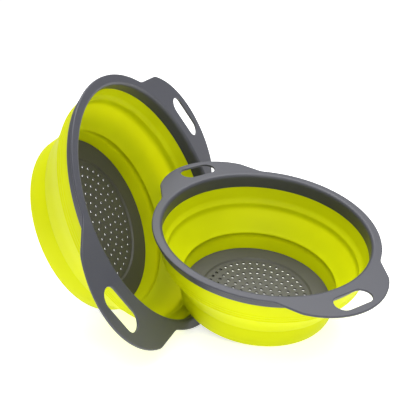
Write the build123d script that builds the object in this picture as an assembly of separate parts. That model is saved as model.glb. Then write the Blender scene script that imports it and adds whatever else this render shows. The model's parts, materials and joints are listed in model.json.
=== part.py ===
from build123d import *

# A set of two round collapsible colanders of one design in two sizes, as the pair stands on a worktop:
# the large one lies on its side, on the edge of its foot and the edge of its rim, and the small one
# leans in its mouth with one side of its foot on the large one's rim.
#
# Each colander is built in its own frame, with the foot on the XY plane, +Z towards the mouth and the
# two handles on the X axis. It has a rim with slotted handles, a ring under the rim that grips the
# silicone wall, the wall in three bands that telescope when it is pushed flat, a perforated plate and
# a ring under the plate that grips the wall's lower edge and is the foot.

import os
from dataclasses import dataclass
from math import asin, atan2, cos, hypot, pi, radians, sin, sqrt, tan


@dataclass
class Sizes:
    """The sizes of one colander, in millimetres. Heights are above the foot."""

    name: str
    rim_radius: float  # outer edge of the flange
    mouth_radius: float  # inside of the rim's sleeve
    height: float  # top of the flange
    sleeve_depth: float  # from the flange's top to the sleeve's lower edge
    skirt_depth: float  # from the flange's top to the lower edge of the ring under it
    shoulder_height: float  # the upper fold of the wall
    shoulder_radius: float  # inside of the upper band at that fold
    step_height: float  # the lower fold of the wall
    step_radius: float  # inside of the sloping band at that fold
    foot_radius: float  # outside of the wall where it stands
    foot_ring_width: float
    handle_reach: float  # from the axis to the tip of a handle
    handle_tip_radius: float  # of the arc round its tip
    handle_width: float  # across a handle, where its tip's arc ends
    handle_root_width: float  # across a handle, where its flanks run into the rim
    slot_radius: float  # from the axis to the middle of a handle's slot
    slot_length: float
    slot_width: float
    holes_radius: float  # the outermost ring of holes
    hole_pitch: float  # between neighbours on a ring
    hole_ring_spacing: float
    dish_radius: float  # the edge of the lowered middle of the plate
    travel: float  # how far the foot rises when the wall is pushed flat


SMALL = Sizes(
    name="small",
    rim_radius=100.0,
    mouth_radius=90.9,
    height=74.5,
    sleeve_depth=13.9,
    skirt_depth=9.4,
    shoulder_height=44.5,
    shoulder_radius=87.7,
    step_height=20.3,
    step_radius=71.6,
    foot_radius=69.4,
    foot_ring_width=8.0,
    handle_reach=124.1,
    handle_tip_radius=61.2,
    handle_width=93.0,
    handle_root_width=116.0,
    slot_radius=109.3,
    slot_length=35.9,
    slot_width=16.0,
    holes_radius=45.0,
    hole_pitch=6.6,
    hole_ring_spacing=7.6,
    dish_radius=50.0,
    travel=40.0,
)
LARGE = Sizes(
    name="large",
    rim_radius=117.4,
    mouth_radius=107.8,
    height=75.5,
    sleeve_depth=12.6,
    skirt_depth=9.2,
    shoulder_height=50.4,
    shoulder_radius=104.1,
    step_height=20.6,
    step_radius=84.8,
    foot_radius=82.7,
    foot_ring_width=9.0,
    handle_reach=151.2,
    handle_tip_radius=73.2,
    handle_width=111.4,
    handle_root_width=137.2,
    slot_radius=131.5,
    slot_length=45.0,
    slot_width=17.9,
    holes_radius=54.0,
    hole_pitch=8.0,
    hole_ring_spacing=8.8,
    dish_radius=60.0,
    travel=40.0,
)

FLANGE_THICKNESS = 2.2
FLANGE_ROUNDING = 0.9
SLOT_ROUNDING = 0.7
LIP_ROUNDING = 3.4
HANDLE_ROOT_ROUNDING = 12.0
HANDLE_ROOT_OVERLAP = 1.0  # how far a flank's end lies inside the rim's circle
HANDLE_SHOULDER_ROUNDING = 14.0
SLEEVE_WALL = 1.5
SLEEVE_DRAFT = 0.5
COLLAR_WALL = 1.8
SKIRT_WALL = 1.8
BEAD_HEIGHT = 1.8
BEAD_DEPTH = 0.8
SILICONE_WALL = 1.8
FOLD_TUCK = 1.0  # how far one band of the wall reaches into the next
PLATE_THICKNESS = 1.7
DISH_DEPTH = 1.5
HOLE_DIAMETER = 3.2
FOOT_BAND_WIDTH = 4.8  # of the wall's own foot, outside the ring under the plate
FOOT_RING_THICKNESS = 1.2
FOOT_LIP_THICKNESS = 0.9
FOOT_LIP_HOLD = 4.4  # how much of the foot ring lies under the wall's lip
SEAT_GAP = 0.1  # between mouldings that are clamped together
FOLD_GAP = 0.4  # between bands that slide past each other
CONTACT_GAP = 0.4  # between the two colanders where they lean on each other

# How the pair stands. Angles are in degrees, seen from above, from +X towards +Y.
LARGE_AZIMUTH = -20.3  # where the large mouth looks
LARGE_HANDLE_TURN = 112.4  # a large handle, from straight up, about its own axis
LARGE_FOOT_X = -153.0  # middle of the large foot, from the middle of the small one
LARGE_FOOT_Y = 30.0
SMALL_AZIMUTH = -67.9  # where the small mouth looks
SMALL_HANDLE_TURN = -55.9  # a small handle, from +X
LEAST_LEAN = 4.0
MOST_LEAN = 40.0
LIFT_TRAVEL = 200.0

Z_AXIS = Vector(0, 0, 1)


def rounded(face, corners, radius):
    """The face with the given corners rounded."""
    picked = []
    for vertex in face.vertices():
        if any(hypot(vertex.X - x, vertex.Y - y) < 1e-4 for x, y in corners):
            picked.append(vertex)
    return fillet(picked, radius)


def profile(points):
    """A flat face from (radius, height) points."""
    return make_face(Polyline(*points, close=True))


def turned(face):
    """The solid that a (radius, height) face sweeps round the axis."""
    return revolve(Plane.XZ * face, Axis.Z)


def sleeve_outer(s):
    return s.mouth_radius + SLEEVE_WALL


def collar_inner(s):
    return sleeve_outer(s) + SEAT_GAP


def collar_outer(s):
    return collar_inner(s) + COLLAR_WALL


def skirt_inner(s):
    return collar_outer(s) + SEAT_GAP


def skirt_outer(s):
    return skirt_inner(s) + SKIRT_WALL


def flange_underside(s):
    return s.height - FLANGE_THICKNESS


def fold_drop(s):
    """How far the sloping band falls from the upper fold to the lower one."""
    return s.shoulder_height - s.step_height


def lower_outer(s):
    """Outside of the lower band at the lower fold, which slides inside the sloping band."""
    return s.step_radius - FOLD_GAP


def plate_bottom(s):
    return FOOT_RING_THICKNESS + FOOT_LIP_THICKNESS + 2 * SEAT_GAP


def plate_top(s):
    return plate_bottom(s) + PLATE_THICKNESS


def wall_inner_at(s, height):
    """Inside radius of the lower band at a height."""
    share = height / s.step_height
    outer = s.foot_radius + (lower_outer(s) - s.foot_radius) * share
    return outer - SILICONE_WALL


def foot_ring_outer(s):
    return s.foot_radius - FOOT_BAND_WIDTH


def handle_outline(s):
    """One handle, on +X, seen from above: an arc round its tip and two flanks down to the rim."""
    half = s.handle_width / 2
    root_half = s.handle_root_width / 2
    shoulder_x = s.handle_reach - s.handle_tip_radius + sqrt(s.handle_tip_radius**2 - half**2)
    root_x = sqrt((s.rim_radius - HANDLE_ROOT_OVERLAP) ** 2 - root_half**2)
    tip = ThreePointArc((shoulder_x, -half), (s.handle_reach, 0), (shoulder_x, half))
    left = Line((shoulder_x, half), (root_x, root_half))
    back = Line((root_x, root_half), (root_x, -root_half))
    right = Line((root_x, -root_half), (shoulder_x, -half))
    outline = make_face([tip, left, back, right])
    return rounded(outline, [(shoulder_x, half), (shoulder_x, -half)], HANDLE_SHOULDER_ROUNDING)


def slot_bars(s):
    """The two handle slots, as bars through the flange's thickness up from the XY plane."""
    bar = extrude(SlotOverall(s.slot_length, s.slot_width, rotation=90), FLANGE_THICKNESS)
    return [Pos(side * s.slot_radius, 0, 0) * bar for side in (1, -1)]


def flange_plate(s):
    """The flat flange with both handles and their slots, its outer edges rounded."""
    outline = Circle(s.rim_radius) + handle_outline(s) + Rot(0, 0, 180) * handle_outline(s)
    roots = [v for v in outline.vertices() if abs(hypot(v.X, v.Y) - s.rim_radius) < 0.01 and abs(v.Y) > 1]
    outline = fillet(roots, HANDLE_ROOT_ROUNDING)
    plate = extrude(outline, FLANGE_THICKNESS)
    rims = plate.faces().filter_by(Axis.Z).edges()
    plate = fillet(rims, FLANGE_ROUNDING)
    for bar in slot_bars(s):
        plate -= bar
    mouths = []
    for edge in plate.faces().filter_by(Axis.Z).edges():
        middle = edge.center()
        across = hypot(abs(middle.X) - s.slot_radius, middle.Y)
        if across <= s.slot_length / 2 and hypot(middle.X, middle.Y) > s.mouth_radius:
            mouths.append(edge)
    plate = fillet(mouths, SLOT_ROUNDING)
    return Pos(0, 0, flange_underside(s)) * plate


def rim_frame(s):
    """The rim: flange and handles, with a sleeve that hangs inside the wall."""
    sleeve_bottom = s.height - s.sleeve_depth
    lip = s.mouth_radius + LIP_ROUNDING
    keep_out = extrude(Circle(lip), s.height + 1)
    section = profile([
        (s.mouth_radius, s.height),
        (lip, s.height),
        (lip, flange_underside(s)),
        (sleeve_outer(s), flange_underside(s)),
        (sleeve_outer(s), sleeve_bottom),
        (s.mouth_radius + SLEEVE_DRAFT, sleeve_bottom),
        (s.mouth_radius, s.height - LIP_ROUNDING - 1),
    ])
    section = rounded(section, [(s.mouth_radius, s.height)], LIP_ROUNDING - 0.1)
    return flange_plate(s) - keep_out + turned(section)


def rim_clamp_ring(s):
    """The ring under the flange that holds the wall's upper edge against the sleeve."""
    top = flange_underside(s)
    bottom = s.height - s.skirt_depth
    groove = top - BEAD_HEIGHT - 2 * SEAT_GAP
    section = profile([
        (skirt_inner(s), bottom),
        (skirt_outer(s), bottom),
        (skirt_outer(s) + SEAT_GAP, top),
        (skirt_inner(s) + BEAD_DEPTH, top),
        (skirt_inner(s) + BEAD_DEPTH, groove),
        (skirt_inner(s), groove),
    ])
    return turned(rounded(section, [(skirt_outer(s), bottom)], SKIRT_WALL / 2))


def wall_upper_band(s):
    """The wall's collar, with the bead that the ring grips, and its near-vertical upper band."""
    top = flange_underside(s) - SEAT_GAP
    bead_bottom = top - BEAD_HEIGHT
    sleeve_bottom = s.height - s.sleeve_depth - SEAT_GAP
    skirt_bottom = s.height - s.skirt_depth
    return turned(profile([
        (s.shoulder_radius, s.shoulder_height),
        (s.shoulder_radius + SILICONE_WALL, s.shoulder_height),
        (collar_outer(s), skirt_bottom),
        (collar_outer(s), bead_bottom),
        (collar_outer(s) + BEAD_DEPTH, bead_bottom),
        (collar_outer(s) + BEAD_DEPTH, top),
        (collar_inner(s), top),
        (collar_inner(s), sleeve_bottom),
        (s.mouth_radius + SLEEVE_DRAFT, sleeve_bottom),
    ]))


def wall_fold_band(s):
    """The sloping band between the folds, whose upper edge tucks inside the upper band."""
    top = s.shoulder_height + FOLD_TUCK
    outer = s.shoulder_radius - FOLD_GAP
    run = hypot(outer - s.step_radius, fold_drop(s))
    thickness = SILICONE_WALL * run / fold_drop(s)
    return turned(profile([
        (s.step_radius, s.step_height),
        (s.step_radius + thickness, s.step_height),
        (outer, s.shoulder_height),
        (outer, top),
        (outer - SILICONE_WALL, top),
        (outer - SILICONE_WALL, s.shoulder_height),
    ]))


def wall_lower_band(s):
    """The lower band, whose upper edge tucks inside the sloping band and whose foot turns inwards."""
    top = s.step_height + FOLD_TUCK
    lip_top = FOOT_RING_THICKNESS + SEAT_GAP + FOOT_LIP_THICKNESS
    lip_inner = foot_ring_outer(s) - FOOT_LIP_HOLD
    return turned(profile([
        (foot_ring_outer(s) + SEAT_GAP, 0),
        (s.foot_radius, 0),
        (lower_outer(s), s.step_height),
        (lower_outer(s), top),
        (lower_outer(s) - SILICONE_WALL, top),
        (lower_outer(s) - SILICONE_WALL, s.step_height),
        (wall_inner_at(s, lip_top), lip_top),
        (lip_inner, lip_top),
        (lip_inner, FOOT_RING_THICKNESS + SEAT_GAP),
        (foot_ring_outer(s) + SEAT_GAP, FOOT_RING_THICKNESS + SEAT_GAP),
    ]))


def hole_rings(s):
    """Places of the holes: rings one inside another, down to one hole in the middle."""
    places = [(0.0, 0.0)]
    radius = s.holes_radius
    while radius > s.hole_pitch:
        count = round(2 * pi * radius / s.hole_pitch)
        for index in range(count):
            angle = 2 * pi * index / count
            places.append((radius * cos(angle), radius * sin(angle)))
        radius -= s.hole_ring_spacing
    return places


def strainer_plate(s):
    """The perforated plate, lowered in the middle."""
    bottom = plate_bottom(s)
    top = plate_top(s)
    edge = min(wall_inner_at(s, bottom), wall_inner_at(s, top)) - SEAT_GAP
    slope_start = s.dish_radius + PLATE_THICKNESS * tan(radians(22.5))
    section = profile([
        (0, bottom - DISH_DEPTH),
        (slope_start, bottom - DISH_DEPTH),
        (slope_start + DISH_DEPTH, bottom),
        (edge, bottom),
        (edge, top),
        (s.dish_radius + DISH_DEPTH, top),
        (s.dish_radius, top - DISH_DEPTH),
        (0, top - DISH_DEPTH),
    ])
    drills = [Pos(x, y, 0) * Cylinder(HOLE_DIAMETER / 2, 4 * top) for x, y in hole_rings(s)]
    return turned(section) - drills


def base_clamp_ring(s):
    """The ring under the plate, which holds the wall's lip and is the foot."""
    outer = foot_ring_outer(s)
    inner = outer - s.foot_ring_width
    lip_inner = outer - FOOT_LIP_HOLD
    return turned(profile([
        (inner, 0),
        (outer, 0),
        (outer, FOOT_RING_THICKNESS),
        (lip_inner - SEAT_GAP, FOOT_RING_THICKNESS),
        (lip_inner - SEAT_GAP, plate_bottom(s)),
        (inner, plate_bottom(s)),
    ]))


PIECES = {
    "rim_frame": rim_frame,
    "rim_clamp_ring": rim_clamp_ring,
    "wall_upper_band": wall_upper_band,
    "wall_fold_band": wall_fold_band,
    "wall_lower_band": wall_lower_band,
    "strainer_plate": strainer_plate,
    "base_clamp_ring": base_clamp_ring,
}


def side_lying_lean(s):
    """How far above level the axis points when it lies on its foot's edge and on its widest part."""
    across = s.rim_radius - FLANGE_ROUNDING - s.foot_radius
    along = flange_underside(s) + FLANGE_ROUNDING
    on_flange = atan2(across, along) + asin(FLANGE_ROUNDING / hypot(across, along))
    corners = outer_outline(s)[2:-2]
    on_wall = max(atan2(radius - s.foot_radius, height) for radius, height in corners)
    return max(on_flange, on_wall)


def large_placement(s):
    """The large one lies on its side."""
    lean = side_lying_lean(s)
    turn = radians(LARGE_AZIMUTH)
    axis = Vector(cos(lean) * cos(turn), cos(lean) * sin(turn), sin(lean))
    upward = (Z_AXIS - axis * axis.Z).normalized()
    sideways = axis.cross(upward)
    handle_turn = radians(LARGE_HANDLE_TURN)
    handle = upward * cos(handle_turn) + sideways * sin(handle_turn)
    foot = Vector(LARGE_FOOT_X, LARGE_FOOT_Y, s.foot_radius * cos(lean))
    return Plane(origin=foot, x_dir=handle, z_dir=axis)


def small_placement(s, lean):
    """The small one stands on one side of its foot, leaning by an angle in degrees."""
    turn = radians(SMALL_AZIMUTH)
    tilt_axis = Axis((0, 0, 0), (-sin(turn), cos(turn), 0))
    axis = Z_AXIS.rotate(tilt_axis, lean)
    spin = radians(SMALL_HANDLE_TURN)
    handle = Vector(cos(spin), sin(spin), 0).rotate(tilt_axis, lean)
    foot = Vector(0, 0, s.foot_radius * sin(radians(lean)))
    return Plane(origin=foot, x_dir=handle, z_dir=axis)


def outer_outline(s):
    """The outside of a colander as (radius, height) points, from the middle of its foot to its flange."""
    slope = SILICONE_WALL * hypot(s.shoulder_radius - s.step_radius, fold_drop(s)) / fold_drop(s)
    return [
        (0, 0),
        (s.foot_radius, 0),
        (lower_outer(s), s.step_height),
        (s.step_radius + slope, s.step_height),
        (s.shoulder_radius, s.shoulder_height),
        (s.shoulder_radius + SILICONE_WALL, s.shoulder_height),
        (skirt_outer(s), s.height - s.skirt_depth),
        (s.rim_radius, flange_underside(s)),
        (s.rim_radius, s.height),
    ]


def gap_to_outline(outline, radius, height):
    """Distance from a point to the outline, negative where the point is inside it."""
    least = float("inf")
    inside = False
    for (r0, h0), (r1, h1) in zip(outline, outline[1:]):
        along_r = r1 - r0
        along_h = h1 - h0
        share = ((radius - r0) * along_r + (height - h0) * along_h) / (along_r**2 + along_h**2)
        share = min(1.0, max(0.0, share))
        least = min(least, hypot(radius - r0 - share * along_r, height - h0 - share * along_h))
        if min(h0, h1) <= height < max(h0, h1):
            inside = radius < r0 + along_r * (height - h0) / along_h
    return -least if inside else least


def rim_points(s, placement):
    """Points round a colander's rim: the flange's two outer edges and the rounded lip of its mouth."""
    circles = [(s.rim_radius, s.height), (s.rim_radius, flange_underside(s))]
    for step in range(0, 91, 10):
        rise = radians(step)
        inset = LIP_ROUNDING * (1 - sin(rise))
        drop = LIP_ROUNDING * (1 - cos(rise))
        circles.append((s.mouth_radius + inset, s.height - drop))
    for radius, height in circles:
        for angle in range(0, 360):
            turn = radians(angle)
            yield placement.from_local_coords(Vector(radius * cos(turn), radius * sin(turn), height))


def resting_lean(small, large):
    """The least lean, in degrees, at which the small one's outside clears the large one's rim."""
    outline = outer_outline(small)
    points = list(rim_points(large, large_placement(large)))
    low = LEAST_LEAN
    high = MOST_LEAN
    while high - low > 0.005:
        lean = (low + high) / 2
        placement = small_placement(small, lean)
        gaps = []
        for point in points:
            local = placement.to_local_coords(point)
            gaps.append(gap_to_outline(outline, hypot(local.X, local.Y), local.Z))
        if min(gaps) < CONTACT_GAP:
            low = lean
        else:
            high = lean
    return high


def build_set():
    """Every node of the set, standing on the XY plane with the middle of its box on the Z axis."""
    lean = resting_lean(SMALL, LARGE)
    places = [(SMALL, small_placement(SMALL, lean)), (LARGE, large_placement(LARGE))]
    nodes = {}
    for sizes, placement in places:
        for piece, make in PIECES.items():
            nodes[f"{sizes.name}_{piece}"] = placement.location * make(sizes)
    boxes = [node.bounding_box() for node in nodes.values()]
    middle_x = (min(b.min.X for b in boxes) + max(b.max.X for b in boxes)) / 2
    middle_y = (min(b.min.Y for b in boxes) + max(b.max.Y for b in boxes)) / 2
    lowest = min(b.min.Z for b in boxes)
    shift = Vector(-middle_x, -middle_y, -lowest)
    moved = {name: Pos(shift) * node for name, node in nodes.items()}
    frames = {sizes.name: (placement.origin + shift, placement.z_dir, placement.x_dir)
              for sizes, placement in places}
    return moved, frames, lean


def main():
    os.makedirs("parts", exist_ok=True)
    nodes, frames, lean = build_set()
    for name, node in nodes.items():
        export_step(node, f"parts/{name}.step")
    print("lean", round(lean, 2))
    for name, (origin, axis, handle) in frames.items():
        print(name, "foot", origin, "axis", axis, "handle", handle)


if __name__ == "__main__":
    main()
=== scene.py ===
"""Looks for a set of two collapsible colanders: silicone walls, moulded rims and plates, and a studio."""

import json
import math

import bmesh
import bpy
from mathutils import Matrix, Vector


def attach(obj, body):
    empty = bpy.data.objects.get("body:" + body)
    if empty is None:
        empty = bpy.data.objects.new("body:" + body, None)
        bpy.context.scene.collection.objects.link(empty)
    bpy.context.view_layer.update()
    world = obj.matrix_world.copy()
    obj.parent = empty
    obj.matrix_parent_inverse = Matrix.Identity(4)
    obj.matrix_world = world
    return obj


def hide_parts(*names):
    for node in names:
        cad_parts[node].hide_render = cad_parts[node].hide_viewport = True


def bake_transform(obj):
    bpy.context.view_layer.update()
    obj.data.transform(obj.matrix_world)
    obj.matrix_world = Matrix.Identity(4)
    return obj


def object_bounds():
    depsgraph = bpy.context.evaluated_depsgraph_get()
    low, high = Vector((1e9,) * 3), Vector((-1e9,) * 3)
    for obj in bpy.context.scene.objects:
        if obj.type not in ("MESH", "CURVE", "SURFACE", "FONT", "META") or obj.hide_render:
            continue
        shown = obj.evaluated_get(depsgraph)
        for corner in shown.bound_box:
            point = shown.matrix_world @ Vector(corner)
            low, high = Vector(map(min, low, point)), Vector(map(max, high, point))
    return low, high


bl_info = {
    "name": "Collapsible colander set",
    "version": (1, 0, 0),
    "blender": (4, 5, 0),
    "location": "View3D > Sidebar > Colanders",
    "description": "Builds the silicone walls, plastics and studio round the colander set's frame",
    "category": "Object",
}

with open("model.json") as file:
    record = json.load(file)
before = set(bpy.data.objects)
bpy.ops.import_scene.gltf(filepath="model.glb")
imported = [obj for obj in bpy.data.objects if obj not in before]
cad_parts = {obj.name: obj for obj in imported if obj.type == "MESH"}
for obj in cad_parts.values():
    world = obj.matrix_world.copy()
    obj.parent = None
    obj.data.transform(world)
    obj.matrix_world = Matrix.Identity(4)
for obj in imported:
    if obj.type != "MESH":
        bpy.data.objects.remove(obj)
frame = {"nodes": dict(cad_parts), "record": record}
CAD_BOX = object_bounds()

MM = 0.001
COLANDERS = ("small", "large")
SAME_HEIGHT = 0.06  # mm, two points of a turned part this near in height are on one edge
ARC_STEPS = 5  # of a rounded corner
CREASE = math.radians(38)  # a sharper edge than this is drawn sharp
CLEARANCE = 0.1  # mm, between a wall and the mouldings that hold it
BEAD_LIFTS = (0.3, 3.0, 5.7)  # mm, of the outer fold's beads above its shoulder
BEAD_HALF_WIDTH = 0.8  # mm
UPPER_CREST_ROUNDING = 0.7  # mm, the upper fold is the crisper one
RIM_ROUGHNESS = 0.42
PLATE_ROUGHNESS = 0.5


def linear(hex_colour):
    """An sRGB hex colour as linear red, green, blue."""
    parts = [int(hex_colour[i:i + 2], 16) / 255 for i in (1, 3, 5)]
    return tuple(p / 12.92 if p <= 0.04045 else ((p + 0.055) / 1.055) ** 2.4 for p in parts)


def with_alpha(colour):
    """A colour as the four numbers that a node's socket takes."""
    return (*colour, 1.0)


def mount(name):
    """A mount from the frame's record."""
    return next(m for m in frame["record"]["mounts"] if m["name"] == name)


def standing_frame(name):
    """A colander's own axes: the middle of its foot, X towards its first handle, Z towards its mouth."""
    slot_a = Vector(mount(f"{name}_handle_slot_a")["pos_m"])
    slot_b = Vector(mount(f"{name}_handle_slot_b")["pos_m"])
    axis = -Vector(mount(f"{name}_foot")["axis"]).normalized()
    on_axis = (slot_a + slot_b) / 2
    foot = Vector(mount(f"{name}_foot")["pos_m"])
    origin = on_axis - axis * (on_axis - foot).dot(axis)
    handle = (slot_a - slot_b).normalized()
    side = axis.cross(handle).normalized()
    handle = side.cross(axis)
    turn = Matrix((handle, side, axis)).transposed()
    return Matrix.Translation(origin) @ turn.to_4x4()


FRAMES = {name: standing_frame(name) for name in COLANDERS}


class TurnedNode:
    """Radii and heights of a turned CAD piece in its colander's own axes, in millimetres."""

    def __init__(self, colander, piece):
        inverse = FRAMES[colander].inverted()
        places = [inverse @ v.co for v in frame["nodes"][f"{colander}_{piece}"].data.vertices]
        self.points = [(math.hypot(p.x, p.y) / MM, p.z / MM) for p in places]
        self.low = min(height for _, height in self.points)
        self.high = max(height for _, height in self.points)

    def radii(self, height):
        """Least and greatest radius at a height where the piece has an edge."""
        found = [radius for radius, z in self.points if abs(z - height) < SAME_HEIGHT]
        return min(found), max(found)


# ---------------------------------------------------------------- sizes and colours that a user changes

def colour_property(name, description, hex_colour):
    """A colour that a user picks, from an sRGB hex default."""
    return bpy.props.FloatVectorProperty(
        name=name, description=description, default=linear(hex_colour), size=3, min=0, max=1,
        subtype="COLOR")


def length_property(name, description, millimetres):
    """A length that a user types, from a default in millimetres."""
    return bpy.props.FloatProperty(
        name=name, description=description, default=millimetres * MM, min=0, unit="LENGTH",
        subtype="DISTANCE", precision=5)


class ColanderWallSettings(bpy.types.PropertyGroup):
    """Sizes and colours of the silicone walls."""

    silicone: colour_property("Silicone", "Colour of the silicone", "#CCD300")
    crest_rounding: length_property("Crest rounding", "Radius of the lower fold's crest inside the bowl", 1.3)
    edge_rounding: length_property("Edge rounding", "Radius of the crisp outer edges of the wall", 0.5)
    fold_bead: length_property("Fold bead", "How far the thin beads round the outer fold stand out", 0.35)
    segments: bpy.props.IntProperty(
        name="Segments", description="Facets round a wall or a ring", default=256, min=24, max=1024)


class ColanderPlasticSettings(bpy.types.PropertyGroup):
    """Colours and sizes of the polypropylene mouldings."""

    rim: colour_property("Rim", "Colour of the rims and handles", "#42434B")
    shadow_gap: length_property("Shadow gap", "Height of the groove between a flange and its ring", 1.5)
    skirt_flare: length_property("Skirt flare", "How far the ring widens towards its groove", 1.3)
    plate: colour_property("Plate", "Colour of the strainer plates and foot rings", "#4B4A45")


class ColanderStudioSettings(bpy.types.PropertyGroup):
    """The floor, the lights and the camera."""

    floor: colour_property("Floor", "Colour of the floor", "#F4F4F4")
    floor_radius: length_property("Floor radius", "Radius of the floor", 9000)
    key_power: bpy.props.FloatProperty(
        name="Key light", description="Power of the softbox at the front right", default=10, min=0,
        unit="POWER")
    top_power: bpy.props.FloatProperty(
        name="Top light", description="Power of the softbox overhead", default=30, min=0, unit="POWER")
    sky: bpy.props.FloatProperty(
        name="Sky", description="Strength of the even light from all round", default=0.42, min=0)
    lens: bpy.props.FloatProperty(
        name="Lens", description="Focal length of the camera, in millimetres", default=68.5, min=10,
        unit="CAMERA")


# ---------------------------------------------------------------- materials

def add_node(material, kind, inputs=None, **settings):
    """Adds a node, with its settings and with its inputs set or linked."""
    made = material.node_tree.nodes.new(kind)
    for key, value in settings.items():
        setattr(made, key, value)
    for key, value in (inputs or {}).items():
        if isinstance(value, bpy.types.NodeSocket):
            material.node_tree.links.new(value, made.inputs[key])
        else:
            made.inputs[key].default_value = value
    return made


def new_material(name):
    """A material with no nodes yet."""
    material = bpy.data.materials.new(name)
    material.use_nodes = True
    material.node_tree.nodes.clear()
    return material


def finish_material(material, shader):
    """Joins a shader to the material's output."""
    add_node(material, "ShaderNodeOutputMaterial", {"Surface": shader.outputs["BSDF"]})
    return material


def cells_per_metre(millimetres):
    """Scale of a noise whose grains are that large."""
    return 1 / (millimetres * MM)


def ramp(material, factor, stops):
    """A colour ramp from (position, linear colour) stops."""
    made = add_node(material, "ShaderNodeValToRGB", {"Fac": factor})
    elements = made.color_ramp.elements
    while len(elements) < len(stops):
        elements.new(1.0)
    for element, (position, colour) in zip(elements, stops):
        element.position = position
        element.color = with_alpha(colour)
    return made.outputs["Color"]


def shaded(colour, factor):
    """A colour made darker or lighter by a factor."""
    return tuple(min(1.0, c * factor) for c in colour)


def moulded_polypropylene(name, colour, roughness):
    """Polypropylene, injection moulded in a spark-eroded tool: a satin skin that scatters highlights wide,
    with faint cloudy flow marks and a slightly uneven gloss."""
    material = new_material(name)
    place = add_node(material, "ShaderNodeTexCoord").outputs["Object"]
    # Flow marks of pigment are 20 to 40 mm long.
    clouds = add_node(material, "ShaderNodeTexNoise",
                      {"Vector": place, "Scale": cells_per_metre(30), "Detail": 3, "Roughness": 0.55})
    tint = ramp(material, clouds.outputs["Fac"],
                [(0.25, shaded(colour, 0.93)), (0.5, colour), (0.8, shaded(colour, 1.07))])
    # The tool's grain is about 0.1 mm, drawn at 0.7 mm so that it shows.
    grain = add_node(material, "ShaderNodeTexNoise",
                     {"Vector": place, "Scale": cells_per_metre(0.7), "Detail": 2, "Roughness": 0.6})
    gloss = add_node(material, "ShaderNodeMapRange",
                     {"Value": clouds.outputs["Fac"], "From Min": 0.2, "From Max": 0.8,
                      "To Min": roughness - 0.04, "To Max": roughness + 0.05})
    bump = add_node(material, "ShaderNodeBump",
                    {"Height": grain.outputs["Fac"], "Strength": 0.12, "Distance": 0.1 * MM})
    shader = add_node(material, "ShaderNodeBsdfPrincipled",
                      {"Base Color": tint, "Roughness": gloss.outputs["Result"],
                       "Normal": bump.outputs["Normal"], "IOR": 1.49, "Metallic": 0.0,
                       "Specular IOR Level": 0.5})
    return finish_material(material, shader)


def moulded_silicone(name, colour):
    """Silicone rubber, compression moulded: a soft matt skin over a rubber that lets a little light in, so
    its thin edges and lit crests glow paler, with a faint bloom of dust-fine texture."""
    material = new_material(name)
    place = add_node(material, "ShaderNodeTexCoord").outputs["Object"]
    # The pigment is stirred in, which leaves streaks about 45 mm wide.
    streaks = add_node(material, "ShaderNodeTexNoise",
                       {"Vector": place, "Scale": cells_per_metre(45), "Detail": 2, "Roughness": 0.5})
    tint = ramp(material, streaks.outputs["Fac"],
                [(0.3, shaded(colour, 0.96)), (0.7, shaded(colour, 1.04))])
    # The bead-blasted tool's texture is about 0.05 mm, drawn at 0.8 mm so that it shows.
    skin = add_node(material, "ShaderNodeTexNoise",
                    {"Vector": place, "Scale": cells_per_metre(0.8), "Detail": 2, "Roughness": 0.5})
    gloss = add_node(material, "ShaderNodeMapRange",
                     {"Value": streaks.outputs["Fac"], "From Min": 0.2, "From Max": 0.8,
                      "To Min": 0.52, "To Max": 0.62})
    bump = add_node(material, "ShaderNodeBump",
                    {"Height": skin.outputs["Fac"], "Strength": 0.06, "Distance": 0.1 * MM})
    shader = add_node(material, "ShaderNodeBsdfPrincipled",
                      {"Base Color": tint, "Roughness": gloss.outputs["Result"],
                       "Normal": bump.outputs["Normal"], "IOR": 1.41, "Metallic": 0.0,
                       "Subsurface Weight": 0.35, "Subsurface Radius": (1.0, 0.9, 0.15),
                       "Subsurface Scale": 3 * MM, "Specular IOR Level": 0.15})
    return finish_material(material, shader)


def paint(node, material):
    """Puts a material on a CAD piece."""
    piece = frame["nodes"][node]
    piece.data.materials.clear()
    piece.data.materials.append(material)


# ---------------------------------------------------------------- silicone walls

def softened(corners):
    """Points of a closed outline whose (radius, height, rounding) corners are rounded, all in millimetres."""
    points = []
    count = len(corners)
    for index, (radius, height, rounding) in enumerate(corners):
        here = Vector((radius, height))
        if rounding <= 0:
            points.append(here)
            continue
        before = Vector(corners[index - 1][:2]) - here
        after = Vector(corners[(index + 1) % count][:2]) - here
        reach = min(rounding, before.length * 0.49, after.length * 0.49)
        start = here + before.normalized() * reach
        end = here + after.normalized() * reach
        for step in range(ARC_STEPS + 1):
            t = step / ARC_STEPS
            points.append(start * (1 - t) ** 2 + here * (2 * t * (1 - t)) + end * t ** 2)
    return points


def bead(radius, height, stand_out, slope):
    """Corners of a thin bead on an outer wall that goes up, where slope is its radius gained per height."""
    return [
        (radius - slope * BEAD_HALF_WIDTH, height - BEAD_HALF_WIDTH, 0.2),
        (radius + stand_out, height, 0.5),
        (radius + slope * BEAD_HALF_WIDTH, height + BEAD_HALF_WIDTH, 0.2),
    ]


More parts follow.
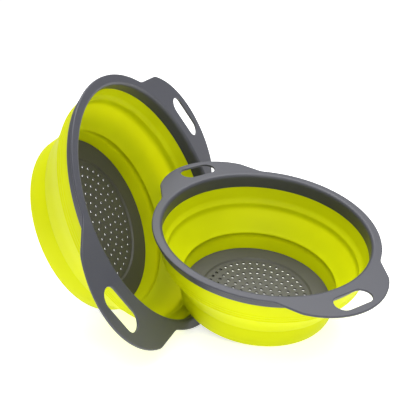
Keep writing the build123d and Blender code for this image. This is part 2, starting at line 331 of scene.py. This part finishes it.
def wall_corners(name, settings):
    """Corners of a wall's section, in millimetres, round from its upper edge, down inside and up outside.

    A corner is a radius, a height and a rounding. A factor under one is a share of the way between two
    places measured on the frame, and a number added to one is a small offset in millimetres."""
    sleeve = TurnedNode(name, "rim_frame")
    ring = TurnedNode(name, "rim_clamp_ring")
    upper = TurnedNode(name, "wall_upper_band")
    fold = TurnedNode(name, "wall_fold_band")
    lower = TurnedNode(name, "wall_lower_band")
    foot_ring = TurnedNode(name, "base_clamp_ring")
    crest_rounding = settings.crest_rounding / MM
    edge = settings.edge_rounding / MM
    stand_out = settings.fold_bead / MM

    collar_inner, bead_outer = upper.radii(upper.high)
    sleeve_inner = sleeve.radii(sleeve.low)[0]
    under_sleeve = sleeve.low - CLEARANCE
    skirt_bottom = ring.low
    collar_outer = upper.radii(skirt_bottom)[1]
    shoulder = upper.low
    shoulder_outer = upper.radii(shoulder)[1]
    crest_one = fold.radii(fold.high)[0]
    crest_one_height = fold.high
    step = fold.low
    tier_outer = fold.radii(step)[1]
    crest_two, lower_outer = lower.radii(lower.high)
    crest_two_height = lower.high
    foot_outer = lower.radii(lower.low)[1]
    ring_outer = foot_ring.radii(foot_ring.low)[1]
    lip_heights = sorted({round(z, 2) for r, z in lower.points if r < ring_outer})
    lip_bottom, lip_top = lip_heights[0], lip_heights[-1]
    lip_inner = min(r for r, _ in lower.points)
    foot_inner = max(r for r, z in lower.points if abs(z - lip_top) < SAME_HEIGHT)
    bead_bottom = max(z for _, z in upper.points if z < upper.high - SAME_HEIGHT)

    fall = crest_one_height - crest_two_height
    run = crest_one - crest_two
    rise = skirt_bottom - shoulder
    flare = (collar_outer - shoulder_outer) / rise
    inside = [
        (collar_inner, upper.high, 0),  # top of the collar
        (collar_inner, under_sleeve, 0),  # down behind the sleeve
        (sleeve_inner, under_sleeve, 0.4),  # out under the sleeve's end
        # the hollow above the upper crest
        (sleeve_inner - (sleeve_inner - crest_one) * 0.42, shoulder + (under_sleeve - shoulder) * 0.30, 4),
        (crest_one + 0.8, crest_one_height + 0.8, 0.5),  # over the upper crest
        (crest_one, crest_one_height - 0.3, UPPER_CREST_ROUNDING),  # the upper crest
        (crest_one - run * 0.02, crest_one_height - fall * 0.22, 4),  # the sloping band, top
        (crest_one - run * 0.46, crest_one_height - fall * 0.60, 5),  # the sloping band, middle
        (crest_two + run * 0.20, crest_two_height + fall * 0.12, 2.4),  # the swell over the lower crest
        (crest_two, crest_two_height - 0.4, crest_rounding),  # the lower crest
        (crest_two + 1.3, crest_two_height - 2.6, 1.0),  # under the lower crest
        (crest_two + 1.9, crest_two_height - 6.2, 2.0),  # the recess under it
        (foot_inner + 1.6, lip_top + (crest_two_height - lip_top) * 0.34, 4),
        (foot_inner, lip_top + 0.2, 0),  # where the plate's edge meets the wall
        (lip_inner, lip_top, 0),  # the lip that the foot ring holds
        (lip_inner, lip_bottom, 0),
        (ring_outer + CLEARANCE, lip_bottom, 0),
        (ring_outer + CLEARANCE, lower.low, 0.2),
    ]
    outside = [
        (foot_outer, lower.low, 1.0),  # the edge that it stands on
        (foot_outer + (lower_outer - foot_outer) * 0.55 + 1.0, step * 0.45, 5),
        (lower_outer + 0.9, step - 2.2, 1.2),
        (lower_outer + 0.9, step - 0.1, 0.4),
        (tier_outer, step + 0.1, edge),  # the step
        (tier_outer + (shoulder_outer - tier_outer) * 0.42, step + (shoulder - step) * 0.50, 6),
        (shoulder_outer - 1.6, shoulder - 2.2, 1.2),
    ]
    for lift in BEAD_LIFTS:
        outside += bead(shoulder_outer + flare * lift, shoulder + lift, stand_out, flare)
    outside += [
        (collar_outer - flare * rise * 0.1 + 0.1, skirt_bottom - rise * 0.12, 3),
        (collar_outer, skirt_bottom, 0),  # up behind the skirt
        (collar_outer, bead_bottom, 0),
        (bead_outer, bead_bottom, 0),  # the bead that the ring grips
        (bead_outer, upper.high, 0.3),
    ]
    return inside + outside, shoulder, step


def turned_mesh(name, points, segments, placement):
    """A closed solid of revolution from (radius, height) points in millimetres, placed in the set."""
    mesh = bpy.data.meshes.new(name)
    work = bmesh.new()
    rings = []
    for segment in range(segments):
        angle = 2 * math.pi * segment / segments
        across = (math.cos(angle), math.sin(angle))
        rings.append([
            work.verts.new(placement @ Vector((p.x * MM * across[0], p.x * MM * across[1], p.y * MM)))
            for p in points
        ])
    for segment, ring in enumerate(rings):
        following = rings[(segment + 1) % segments]
        for index in range(len(points)):
            after = (index + 1) % len(points)
            work.faces.new((ring[index], ring[after], following[after], following[index]))
    bmesh.ops.recalc_face_normals(work, faces=work.faces)
    for face in work.faces:
        face.smooth = True
    for edge in work.edges:
        if edge.calc_face_angle(0) > CREASE:
            edge.smooth = False
    work.to_mesh(mesh)
    work.free()
    made = bpy.data.objects.new(name, mesh)
    bpy.context.scene.collection.objects.link(made)
    return made


class COLANDER_OT_make_walls(bpy.types.Operator):
    """Build each colander's silicone wall as one moulding that rolls over its folds"""

    bl_idname = "colander.make_walls"
    bl_label = "Silicone walls"

    def execute(self, context):
        settings = context.scene.colander_walls
        silicone = moulded_silicone("silicone_compression_moulded", tuple(settings.silicone))
        for name in COLANDERS:
            corners, shoulder, step = wall_corners(name, settings)
            wall = turned_mesh(f"{name}_silicone_wall", softened(corners), settings.segments, FRAMES[name])
            wall.data.materials.append(silicone)
            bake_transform(wall)
            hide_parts(f"{name}_wall_upper_band", f"{name}_wall_fold_band", f"{name}_wall_lower_band")
        return {"FINISHED"}


def clamp_ring_corners(name, settings):
    """Corners of the section of the ring under a rim, with the shadow gap that parts it from the flange."""
    ring = TurnedNode(name, "rim_clamp_ring")
    inner, outer = ring.radii(ring.high)
    bottom_inner = ring.radii(ring.low)[0]
    skirt = max(radius for radius, _ in ring.points)
    gap_floor = inner + (outer - inner) * 0.3
    gap = settings.shadow_gap / MM
    flare = settings.skirt_flare / MM
    bead_bottom = max(z for r, z in ring.points if z < ring.high - SAME_HEIGHT)
    return [
        (bottom_inner, ring.low, 0.3),
        (skirt, ring.low, 0.9),
        (skirt + flare, ring.high - gap, 0.5),
        (gap_floor, ring.high - gap, 0.2),
        (gap_floor, ring.high, 0),
        (inner, ring.high, 0),
        (inner, bead_bottom, 0),
        (bottom_inner, bead_bottom, 0),
    ]


class COLANDER_OT_make_clamp_rings(bpy.types.Operator):
    """Build the rings under the rims, with their shadow gaps"""

    bl_idname = "colander.make_clamp_rings"
    bl_label = "Clamp rings"

    def execute(self, context):
        settings = context.scene.colander_plastics
        colour = tuple(settings.rim)
        material = moulded_polypropylene("polypropylene_clamp_ring_moulded", colour, RIM_ROUGHNESS)
        segments = context.scene.colander_walls.segments
        for name in COLANDERS:
            points = softened(clamp_ring_corners(name, settings))
            ring = turned_mesh(f"{name}_clamp_ring", points, segments, FRAMES[name])
            ring.data.materials.append(material)
            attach(ring, f"{name}_rim")
            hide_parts(f"{name}_rim_clamp_ring")
        return {"FINISHED"}


class COLANDER_OT_finish_rims(bpy.types.Operator):
    """Give the rims and their handles their moulded plastic"""

    bl_idname = "colander.finish_rims"
    bl_label = "Rims and handles"

    def execute(self, context):
        colour = tuple(context.scene.colander_plastics.rim)
        material = moulded_polypropylene("polypropylene_satin_moulded", colour, RIM_ROUGHNESS)
        for name in COLANDERS:
            paint(f"{name}_rim_frame", material)
        return {"FINISHED"}


class COLANDER_OT_finish_plates(bpy.types.Operator):
    """Give the strainer plates and the rings under them their moulded plastic"""

    bl_idname = "colander.finish_plates"
    bl_label = "Strainer plates"

    def execute(self, context):
        colour = tuple(context.scene.colander_plastics.plate)
        material = moulded_polypropylene("polypropylene_matt_moulded", colour, PLATE_ROUGHNESS)
        for name in COLANDERS:
            paint(f"{name}_strainer_plate", material)
            paint(f"{name}_base_clamp_ring", material)
        return {"FINISHED"}


# ---------------------------------------------------------------- studio

CAMERA_PLACE = (-0.00647, -0.6361, 0.3369)
CAMERA_PITCH = 70.03  # degrees, from straight down
CAMERA_REACH = 50  # metres, further than the floor's far edge
SENSOR_WIDTH = 36  # mm
KEY_PLACE = (0.25, -1.2, 1.2)
KEY_TARGET = (0, 0, 0.06)
KEY_SIZE = 1.1
TOP_PLACE = (0.15, 0.35, 1.5)
TOP_TARGET = (0, 0, 0.05)
TOP_SIZE = 1.6
FLOOR_SEGMENTS = 96
FLOOR_GLOW = 0.7
WHITE = (1.0, 1.0, 1.0)


def softbox(name, place, target, size, power):
    """A square soft light that looks at a point."""
    light = bpy.data.lights.new(name, "AREA")
    light.shape = "SQUARE"
    light.size = size
    light.energy = power
    made = bpy.data.objects.new(name, light)
    bpy.context.scene.collection.objects.link(made)
    made.location = place
    made.rotation_euler = (Vector(target) - Vector(place)).to_track_quat("-Z", "Y").to_euler()
    return made


def floor_disc(radius, material):
    """A round floor at the height the set stands on."""
    mesh = bpy.data.meshes.new("floor")
    work = bmesh.new()
    bmesh.ops.create_circle(work, cap_ends=True, segments=FLOOR_SEGMENTS, radius=radius)
    bmesh.ops.translate(work, verts=work.verts, vec=(0, 0, CAD_BOX[0][2]))
    work.to_mesh(mesh)
    work.free()
    mesh.materials.append(material)
    made = bpy.data.objects.new("floor", mesh)
    bpy.context.scene.collection.objects.link(made)
    return made


def opal_acrylic(colour):
    """Opal acrylic, lit from below like a product table: an even white that softens every shadow."""
    material = new_material("opal_acrylic_lit")
    place = add_node(material, "ShaderNodeTexCoord").outputs["Object"]
    # The sheet's own unevenness is wide and very faint.
    tooth = add_node(material, "ShaderNodeTexNoise",
                     {"Vector": place, "Scale": cells_per_metre(400), "Detail": 1})
    tint = ramp(material, tooth.outputs["Fac"], [(0.3, shaded(colour, 0.995)), (0.7, colour)])
    shader = add_node(material, "ShaderNodeBsdfPrincipled",
                      {"Base Color": tint, "Roughness": 0.9, "IOR": 1.45, "Specular IOR Level": 0.1,
                       "Emission Color": with_alpha(colour), "Emission Strength": FLOOR_GLOW})
    return finish_material(material, shader)


class COLANDER_OT_make_studio(bpy.types.Operator):
    """Set up the floor, the soft lights and the camera"""

    bl_idname = "colander.make_studio"
    bl_label = "Studio"

    def execute(self, context):
        settings = context.scene.colander_studio
        floor = floor_disc(settings.floor_radius, opal_acrylic(tuple(settings.floor)))
        softbox("key_softbox", KEY_PLACE, KEY_TARGET, KEY_SIZE, settings.key_power)
        softbox("top_softbox", TOP_PLACE, TOP_TARGET, TOP_SIZE, settings.top_power)
        world = bpy.data.worlds.new("studio_sky")
        world.use_nodes = True
        sky = world.node_tree.nodes["Background"]
        sky.inputs["Color"].default_value = with_alpha(WHITE)
        sky.inputs["Strength"].default_value = settings.sky
        context.scene.world = world
        context.scene.view_settings.view_transform = "Standard"
        lens = bpy.data.cameras.new("camera")
        lens.lens = settings.lens
        lens.sensor_width = SENSOR_WIDTH
        lens.clip_end = CAMERA_REACH
        camera = bpy.data.objects.new("camera", lens)
        context.scene.collection.objects.link(camera)
        camera.location = CAMERA_PLACE
        camera.rotation_euler = (math.radians(CAMERA_PITCH), 0, 0)
        context.scene.camera = camera
        return {"FINISHED"}


class COLANDER_PT_panel(bpy.types.Panel):
    """Lists the colander set's pieces and their settings"""

    bl_idname = "COLANDER_PT_panel"
    bl_label = "Colanders"
    bl_space_type = "VIEW_3D"
    bl_region_type = "UI"
    bl_category = "Colanders"

    def draw(self, context):
        layout = self.layout
        for operator in OPERATORS:
            layout.operator(operator.bl_idname)
        for group in GROUPS:
            settings = getattr(context.scene, group)
            box = layout.box()
            for key in settings.__annotations__:
                box.prop(settings, key)


OPERATORS = (
    COLANDER_OT_make_walls,
    COLANDER_OT_make_clamp_rings,
    COLANDER_OT_finish_rims,
    COLANDER_OT_finish_plates,
    COLANDER_OT_make_studio,
)
GROUPS = {
    "colander_walls": ColanderWallSettings,
    "colander_plastics": ColanderPlasticSettings,
    "colander_studio": ColanderStudioSettings,
}


def register():
    for group in GROUPS.values():
        bpy.utils.register_class(group)
    for key, group in GROUPS.items():
        setattr(bpy.types.Scene, key, bpy.props.PointerProperty(type=group))
    for operator in OPERATORS:
        bpy.utils.register_class(operator)
    bpy.utils.register_class(COLANDER_PT_panel)


def unregister():
    bpy.utils.unregister_class(COLANDER_PT_panel)
    for operator in reversed(OPERATORS):
        bpy.utils.unregister_class(operator)
    for key in GROUPS:
        delattr(bpy.types.Scene, key)
    for group in reversed(list(GROUPS.values())):
        bpy.utils.unregister_class(group)


def main():
    register()
    bpy.ops.colander.make_walls()
    bpy.ops.colander.make_clamp_rings()
    bpy.ops.colander.finish_rims()
    bpy.ops.colander.finish_plates()
    bpy.ops.colander.make_studio()


if __name__ == "__main__":
    main()
